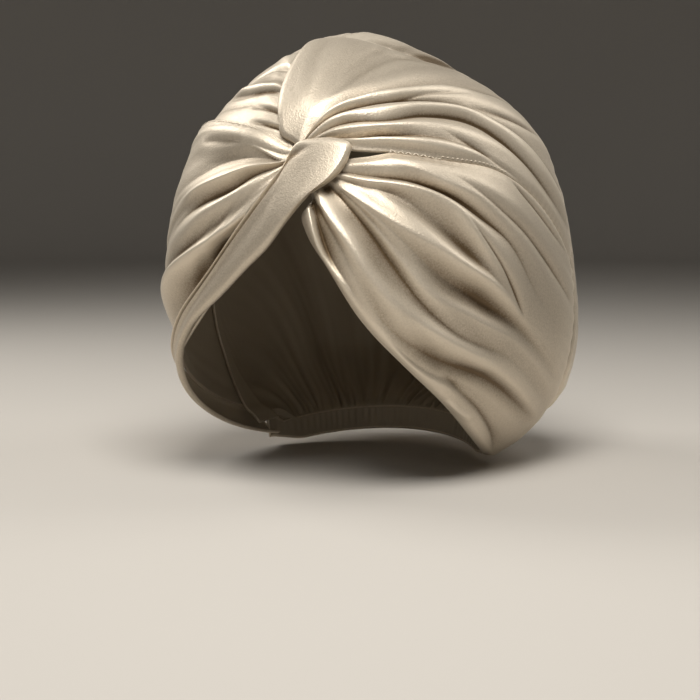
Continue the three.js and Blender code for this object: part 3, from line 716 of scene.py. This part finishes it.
def hollowness(radius, full_depth):
    """0 on a ridge, a half on level cloth, 1 in a valley of the full depth; it sets the painted light and
    shade of the cloth.
    """
    columns, rows = radius.shape
    deep = smoothed(radius, (columns // HOLLOW_SHARE, rows // HOLLOW_SHARE)) - radius
    fine_cells = (max(2, columns // HOLLOW_FINE_SHARE), max(2, rows // HOLLOW_FINE_SHARE))
    fine = smoothed(radius, fine_cells) - radius
    return np.clip(0.5 + deep / full_depth / 2 + fine / HOLLOW_FINE_DEPTH / 2, 0, 1)


def shell(name, node, place, columns, rows, full_depth=HOLLOW_DEPTH):
    """One closed wall with rounded edges. Place gives direction, radius, wall and spot on the flat cloth."""
    a, b = np.meshgrid(np.linspace(0, 1, columns + 1), np.linspace(0, 1, rows + 1), indexing="ij")
    direction, radius, wall, spot = place(a, b)
    outer = CENTRE + direction * radius[..., None]
    inner = CENTRE + direction * (radius - wall)[..., None]
    places, inside = perimeter(columns, rows)
    i, j = places.T
    top = outer[i, j]
    bottom = inner[i, j]
    middle = (top + bottom) / 2
    half = (top - bottom) / 2
    outward = unit(top - outer[inside[:, 0], inside[:, 1]]) * np.linalg.norm(half, axis=-1, keepdims=True)
    angles = np.pi * np.arange(1, RIM_STEPS + 1) / (RIM_STEPS + 1)
    rims = [middle + half * math.cos(angle) + outward * EDGE_ROUND * math.sin(angle) for angle in angles]
    points = np.concatenate([outer.reshape(-1, 3), inner.reshape(-1, 3), *rims])
    spots = np.concatenate([spot.reshape(-1, 2)] * 2 + [spot[i, j]] * RIM_STEPS)

    count = (columns + 1) * (rows + 1)
    index = np.arange(count).reshape(columns + 1, rows + 1)
    corners = [index[:-1, :-1], index[1:, :-1], index[1:, 1:], index[:-1, 1:]]
    outside = np.stack(corners, -1).reshape(-1, 4)
    within = outside[:, ::-1] + count
    loops = [index[i, j]] + [2 * count + k * len(i) + np.arange(len(i)) for k in range(RIM_STEPS)]
    loops.append(index[i, j] + count)
    edges = []
    for near, far in zip(loops, loops[1:]):
        edges.append(np.stack([np.roll(near, -1), near, far, np.roll(far, -1)], -1))
    faces = np.concatenate([outside, within, *edges])
    marks = np.zeros(len(faces))
    marks[len(outside):len(outside) + len(within)] = 1
    piece = make_mesh(name, points, faces, marks, spots, CLOTHS)
    # Painted light and shade, stored on each point: lighter on ridges, darker in valleys; the inner side
    # takes the reverse.
    relief_shade = hollowness(radius, full_depth)
    relief_shades = np.concatenate([relief_shade.ravel(), 1 - relief_shade.ravel()] + [relief_shade[i, j]] * RIM_STEPS)
    layer = piece.data.attributes.new("relief_shade", "FLOAT", "POINT")
    layer.data.foreach_set("value", relief_shades.astype(np.float32))
    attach(piece, BODY)
    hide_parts(node)
    return piece


def fan(name, node, columns, rows, low, high, start, far, height):
    """Cloth between two edges that leave the knot, from a start near it to a far seam."""

    def place(a, b):
        share = np.minimum(b * rows / (rows - 1), 1) ** FAN["crowding"]
        away = lerp(start, FAN["first_reach"], b)
        for _ in range(FAN["passes"]):
            bearing = lerp(low(away), high(away), a)
            end = far(bearing)
            away = np.where(b == 1, end, lerp(start, end - LAST_ROW, share))
        direction = from_knot(bearing, away)
        radius = form_radius(direction) + height(bearing, away)
        spot = np.stack([bearing * per_degree(away), to_millimetres(away)], -1)
        return direction, radius, np.full(a.shape, CLOTH), spot

    return shell(name, node, place, columns, rows)


def left_upper_wrap():
    return fan(
        "left_upper_satin", "left_upper_wrap", columns=90, rows=70,
        low=lambda away: shifted(LEFT_SEAM, away, -TUCK),
        high=lambda away: shifted(PETAL_EDGE, away, TUCK),
        start=4, far=far_left, height=left_upper_height,
    )


def left_lower_wrap():
    return fan(
        "left_lower_satin", "left_lower_wrap", columns=160, rows=120,
        low=lambda away: along(LEFT_TUCK, away),
        high=lambda away: along(LEFT_SEAM, away),
        start=2, far=far_left, height=left_lower_top,
    )


def right_upper_wrap():
    return fan(
        "right_upper_satin", "right_upper_wrap", columns=240, rows=150,
        low=lambda away: along(PETAL_EDGE, away),
        high=lambda away: shifted(SIDE_SEAM, away, -SEAM_GAP / 2),
        start=1.2, far=far_right,
        height=lambda bearing, away: over(right_upper_height(bearing, away), under_petal(bearing, away)),
    )


def right_lower_wrap():
    return fan(
        "right_lower_satin", "right_lower_wrap", columns=230, rows=170,
        low=lambda away: slit_floor(away) + SEAM_GAP / 2 / per_degree(away),
        high=lambda away: along(RIGHT_RIM, away),
        start=6.5, far=far_right, height=right_lower_height,
    )


def twist_band():
    def place(a, b):
        column = {key: follow(BAND["at"], values, a) for key, values in BAND.items()}
        bow = column["bow"] * 4 * b * (1 - b)
        leftward = lerp(column["upper_leftward"], column["lower_leftward"], b) + bow
        up = lerp(column["upper_up"], column["lower_up"], b) - bow / 2
        away = np.hypot(leftward, up)
        bearing = np.degrees(np.arctan2(leftward, up))
        direction = from_knot(bearing, away)
        across = np.hypot(
            column["upper_leftward"] - column["lower_leftward"], column["upper_up"] - column["lower_up"]
        )
        width = to_millimetres(across)
        from_edge = np.minimum(b, 1 - b) * width
        from_start = a * BAND_LENGTH
        folds = 0
        for row in BAND_FOLDS:
            crest = follow(BAND_FOLD_AT, row["across"], a)
            grows = smoothstep(a, row["start"], row["start"] + BAND_FOLD_EASE)
            fades = smoothstep(a, row["end"] - BAND_FOLD_EASE, row["end"])
            ends = grows * (1 - fades)
            folds = folds + row["height"] * np.exp(-(((b - crest) / row["width"]) ** 2)) * ends
        settled = smoothstep(a, BAND_LIFT["start"], BAND_LIFT["end"])
        lift = lerp(BAND_LIFT["knot"], BAND_LIFT["ear"], settled)
        own = lift + folds + turn_down(from_edge, drop=1.6, reach=4)
        own = own + turn_down(from_start, drop=3, reach=5) - 0.5 * knot_draw(away)
        radius = form_radius(direction) + over(own, under_band(bearing, away))
        spot = np.stack([b * width, from_start], -1)
        return direction, radius, np.full(a.shape, CLOTH), spot

    return shell("twist_satin", "twist_band", place, columns=240, rows=60)


# ---- the gathered back and the nape band ----

def back_start(bearing):
    """How far from the knot the back starts, a little in under the front pieces."""
    share = smoothstep(bearing, UNDER_PETAL["start"], UNDER_PETAL["end"])

    def seam(b):
        return lerp(far_left(b), far_right(b), share)

    corner = smoothstep(np.abs(bearing), BACK_CORNER["start"], BACK_CORNER["end"])
    tuck = lerp(SEAM_TUCK["degrees"], SEAM_TUCK["corner_degrees"], corner)
    return seam(bearing) - tuck * askew(seam, bearing)


def slerp(start, end, share):
    """Between two directions, on the way round."""
    apart = angle_between(start, end)[..., None]
    flat = apart < 1e-6
    safe = np.where(flat, 1, apart)
    turned = start * np.sin((1 - share) * safe) + end * np.sin(share * safe)
    return np.where(flat, start, unit(turned))


def back_routes(across):
    """Rows down the back: each leaves the seam straight backward, then bends down to the nape."""
    bearing = lerp(BACK_ENDS["left"], BACK_ENDS["right"], across)
    start = from_knot(bearing, back_start(bearing))
    end = compass(-NAPE["around"] - (FULL_TURN - 2 * NAPE["around"]) * across, NAPE["up"])
    backward = BACK_BEND * np.minimum(1, angle_between(start, end) / BACK_EASE)
    bend = unit(start + backward[:, None] * np.array([0, 1, 0]))
    share = np.linspace(0, 1, ROUTE_STEPS + 1)[None, :, None]
    start, bend, end = start[:, None], bend[:, None], end[:, None]
    routes = slerp(slerp(start, bend, share), slerp(bend, end, share), share)
    steps = MEAN_RADIUS * angle_between(routes[:, :-1], routes[:, 1:])
    distance = np.concatenate([np.zeros((len(across), 1)), np.cumsum(steps, 1)], 1)
    return routes, distance


def back_places(across, down):
    """Directions on the back, and how far they are from its seam and from the nape."""
    routes, distance = back_routes(across)
    length = distance[:, -1:]
    near = np.minimum(NEAR_SEAM, NEAR_SEAM * length / SHORT_ROW)
    past_near = lerp(near, length, (down - NEAR_ROWS) / (1 - NEAR_ROWS))
    from_seam = np.where(down < NEAR_ROWS, near * down / NEAR_ROWS, past_near)
    directions = np.empty((*from_seam.shape, 3))
    for k in range(len(across)):
        for axis in range(3):
            directions[k, :, axis] = np.interp(from_seam[k], distance[k], routes[k, :, axis])
    return unit(directions), from_seam, length - from_seam, length


def nape_reach(across):
    return lerp(NAPE["corner"], NAPE["middle"], np.sin(np.pi * across))


def under_front(bearing, away):
    """How far in under the front pieces a place is, and less than 0 behind them."""
    past_edge = (bearing - along(PETAL_EDGE, away)) * per_degree(away)
    petal = np.minimum(past_edge, to_seam(far_right, bearing, away))
    return np.maximum(petal, np.where(past_edge > 0, petal, to_seam(far_left, bearing, away)))


def back_height(bearing, away):
    behind = -under_front(bearing, away)
    puff = follow(BACK_PUFF["bearing"], BACK_PUFF["height"], bearing)
    rise = smoothstep(behind, 2, BACK_PUFF["reach"]) * (1 - smoothstep(behind, *BACK_PUFF["fall"]))
    tuck = SEAM_TUCK["depth"] * (1 - smoothstep(behind, 1.5, 6))
    round_seam = bearing * per_degree(away)
    gathers = puckers(behind, round_seam, seed=51, height=0.14, pitch=7, reach=12)
    return puff * rise - tuck + gathers * smoothstep(behind, 0, 4)


def back_cap():
    def place(a, b):
        across = a[:, 0]
        direction, from_seam, to_nape, length = back_places(across, b)
        bearing, away = to_knot(direction)
        nape = (nape_reach(across) / math.cos(math.radians(NAPE["up"])))[:, None]
        pull = (1 - smoothstep(to_nape, 0, NAPE_PULL)) * smoothstep(from_seam, -6, 20)
        drawn = lerp(form_radius(direction), nape, pull)
        inward = smoothstep(from_seam, 8, 50) * smoothstep(to_nape, 0, 16)
        round_nape = a * BACK_WIDTH
        drapes = wrinkles(round_nape, from_seam, seed=52, **BACK_DRAPES)
        fine = wrinkles(round_nape, from_seam, seed=53, **BACK_FINE)
        near_nape = np.exp(-to_nape / GATHERS_REACH) * smoothstep(to_nape, 0, 5)
        near_nape = near_nape * np.minimum(1, length / SHORT_ROW)
        gathers = wrinkles(round_nape, to_nape, seed=54, **BACK_GATHERS) * near_nape
        radius = drawn + back_height(bearing, away) + (drapes + fine) * inward + gathers
        spot = np.stack([a * BACK_WIDTH, from_seam], -1)
        return direction, radius, np.full(a.shape, CLOTH), spot

    return shell("back_satin", "back_cap", place, columns=280, rows=140, full_depth=BACK_HOLLOW_DEPTH)


def nape_band():
    def place(a, b):
        around = -NAPE["end"] - (FULL_TURN - 2 * NAPE["end"]) * a
        share = np.clip((-around - NAPE["around"]) / (FULL_TURN - 2 * NAPE["around"]), 0, 1)
        from_end = np.minimum(a, 1 - a) * NAPE["length"]
        reach = nape_reach(share) + NAPE["flare"] * (1 - smoothstep(from_end, *NAPE_ENDS["flare"]))
        rise = NAPE["rise"] * (1 - smoothstep(from_end, *NAPE_ENDS["rise"]))
        full = smoothstep(from_end, *NAPE_ENDS["narrow"])
        height = NAPE["band"] * lerp(NAPE_ENDS["least"], 1, full) + rise
        level = math.tan(math.radians(NAPE["up"])) * nape_reach(share) - NAPE["gap"] + rise - height * b
        from_middle = np.abs(b - 0.5) * 2
        gather = puckers(from_middle, a * NAPE["length"], seed=61, height=0.45, pitch=4.2, reach=3)
        lean = NAPE["lean"] * b + gather * np.sin(np.pi * (0.15 + 0.7 * b))
        crown = NAPE["crown"] * np.sin(np.pi * b)
        flat = compass(around, 0 * around)
        point = flat * (reach - lean + crown)[..., None] + level[..., None] * np.array([0, 0, 1])
        radius = np.linalg.norm(point, axis=-1)
        thick = lerp(NAPE["thin"], NAPE["wall"], np.sin(np.pi * b))
        spot = np.stack([a * NAPE["length"], NAPE["band"] * b], -1)
        return unit(point), radius, thick, spot

    return shell("nape_satin", "nape_band", place, columns=420, rows=24)


# ---- thread ----

def wall_top(bearing, away):
    """How far out the wearer's-left pieces reach on either side of the side seam."""
    upper = right_upper_height(bearing, away)
    lower = right_lower_height(bearing, away)
    return np.where(bearing < along(SIDE_SEAM, away), upper, lower)


def left_top(bearing, away):
    """How far out the other side's pieces reach on either side of their seam."""
    on_lower = bearing < along(LEFT_SEAM, away)
    return np.where(on_lower, left_lower_top(bearing, away), left_upper_height(bearing, away))


def stitch_ends(seam, top, first, last, pitch, length, offset, zigzag):
    """The two ends of each stitch beside a seam, in millimetres."""
    count = int(to_millimetres(last - first) / pitch)
    middle = np.linspace(first, last, count)
    straight = smoothstep(middle, first + ZIGZAG_END["start"], first + ZIGZAG_END["end"])
    lean = zigzag * (1 - straight) * np.where(np.arange(count) % 2, 1, -1)
    ends = []
    for side in (-0.5, 0.5):
        away = middle + np.degrees(side * length / MEAN_RADIUS)
        bearing = shifted(seam, away, offset + lean * side)
        direction = from_knot(bearing, away)
        ends.append(CENTRE + direction * (form_radius(direction) + top(bearing, away) + THREAD)[..., None])
    return ends


def stitches(name, rows, material):
    """Plump little stitches as one piece."""
    points, faces = [], []
    turn = 2 * np.pi * np.arange(THREAD_SIDES) / THREAD_SIDES
    share = np.linspace(0, 1, len(THREAD_RINGS))
    for starts, ends in rows:
        for start, end in zip(starts, ends):
            out = unit(start - CENTRE)
            side = unit(np.cross(end - start, out))
            first = len(points) * THREAD_SIDES
            for t, swell in zip(share, THREAD_RINGS):
                spot = lerp(start, end, t) - out * THREAD_DIP * (2 * t - 1) ** 2
                ring = np.outer(np.cos(turn), out) + np.outer(np.sin(turn), side)
                points.append(spot + THREAD * swell * ring)
            for k in range(len(THREAD_RINGS) - 1):
                near = first + k * THREAD_SIDES + np.arange(THREAD_SIDES)
                far = near + THREAD_SIDES
                faces.append(np.stack([near, np.roll(near, -1), np.roll(far, -1), far], -1))
    points, faces = np.concatenate(points), np.concatenate(faces)
    piece = make_mesh(name, points, faces, np.zeros(len(faces)), points[:, :2], [material])
    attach(piece, BODY)
    return piece


# ---- the studio, in metres, degrees and watts ----

FLOOR = {"gap": 0.0005, "middle": 0.02, "flat": 2.2, "turn": 0.8, "top": 3.2, "sides": 96}
FLOOR_TURN = {"start": 0.1, "stop": math.pi / 2, "num": 14}
MIDDLE = Vector((0, 0, 0.03))
WARM_WHITE = (1, 0.97, 0.92)
WORLD = {"Color": (1, 0.98, 0.95, 1), "Strength": 0.03}
# name, azimuth, elevation, size and power, 1 m from the middle
STUDIO_LIGHTS = [
    ("key_box", 30, 60, 0.55, 10.5),
    ("left_box", -98, 42, 0.5, 4.6),
    ("front_fill", 0, 40, 0.5, 0.6),
    ("rear_right", 135, 42, 0.5, 2),
]

CAMERA = {"azimuth": 26, "elevation": 6, "lens": 85, "sensor": 36, "distance": 0.876}
CAMERA_TARGET = (0.004, 0.0005, -0.0105)


def studio_floor():
    """A round floor that curves up into a wall all the way round."""
    level = cad_low.z - FLOOR["gap"]
    turn = FLOOR["turn"]
    flat = FLOOR["flat"]
    profile = [(FLOOR["middle"], 0), (flat, 0)]
    for angle in np.linspace(**FLOOR_TURN):
        profile.append((flat + turn * math.sin(angle), turn * (1 - math.cos(angle))))
    profile.append((flat + turn, FLOOR["top"]))
    sides = FLOOR["sides"]
    vertices = []
    for reach, height in profile:
        for k in range(sides):
            angle = 2 * math.pi * k / sides
            vertices.append((reach * math.cos(angle), reach * math.sin(angle), level + height))
    faces = [tuple(range(sides))]
    for ring in range(len(profile) - 1):
        for k in range(sides):
            after = (k + 1) % sides
            near, far = ring * sides, (ring + 1) * sides
            faces.append((near + k, far + k, far + after, near + after))
    mesh = bpy.data.meshes.new("studio_floor")
    mesh.from_pydata(vertices, [], faces)
    mesh.shade_smooth()
    mesh.materials.append(plain_material("pale_floor", (0.57, 0.54, 0.5, 1), 0.9))
    floor = bpy.data.objects.new("studio_floor", mesh)
    bpy.context.scene.collection.objects.link(floor)


def aimed(item, place, target):
    item.location = place
    item.rotation_euler = (Vector(target) - Vector(place)).to_track_quat("-Z", "Y").to_euler()
    bpy.context.scene.collection.objects.link(item)


def studio_lights():
    world = bpy.data.worlds.new("studio")
    world.use_nodes = True
    set_inputs(world.node_tree.nodes["Background"], **WORLD)
    bpy.context.scene.world = world
    for name, azimuth, elevation, size, power in STUDIO_LIGHTS:
        light = bpy.data.lights.new(name, "AREA")
        light.size = size
        light.energy = power
        light.color = WARM_WHITE
        place = MIDDLE + Vector(compass(azimuth, elevation))
        aimed(bpy.data.objects.new(name, light), place, MIDDLE)


def camera():
    data = bpy.data.cameras.new("camera")
    data.lens = CAMERA["lens"]
    data.sensor_width = CAMERA["sensor"]
    item = bpy.data.objects.new("camera", data)
    back = Vector(compass(CAMERA["azimuth"], CAMERA["elevation"]))
    aimed(item, Vector(CAMERA_TARGET) + back * CAMERA["distance"], CAMERA_TARGET)
    bpy.context.scene.camera = item


camera()
studio_floor()
studio_lights()
bpy.context.scene.view_settings.view_transform = "Standard"

thread = plain_material("sewing_thread", (0.8, 0.72, 0.6, 1), 0.6)

left_upper = left_upper_wrap()
left_lower = left_lower_wrap()
right_upper = right_upper_wrap()
right_lower = right_lower_wrap()
twist = twist_band()
back = back_cap()
nape = nape_band()
side_stitches = stitches("side_seam_stitches", [
    stitch_ends(SIDE_SEAM, wall_top, first=22, last=34, pitch=1.7, length=1.9, offset=0.1, zigzag=1.6),
    stitch_ends(SIDE_SEAM, wall_top, first=34.8, last=55, pitch=2.6, length=1.7, offset=-1.2, zigzag=0),
], thread)
left_stitches = stitches("left_seam_stitches", [
    stitch_ends(LEFT_SEAM, left_top, first=13, last=42, pitch=2.7, length=1.6, offset=-1.3, zigzag=0),
], thread)
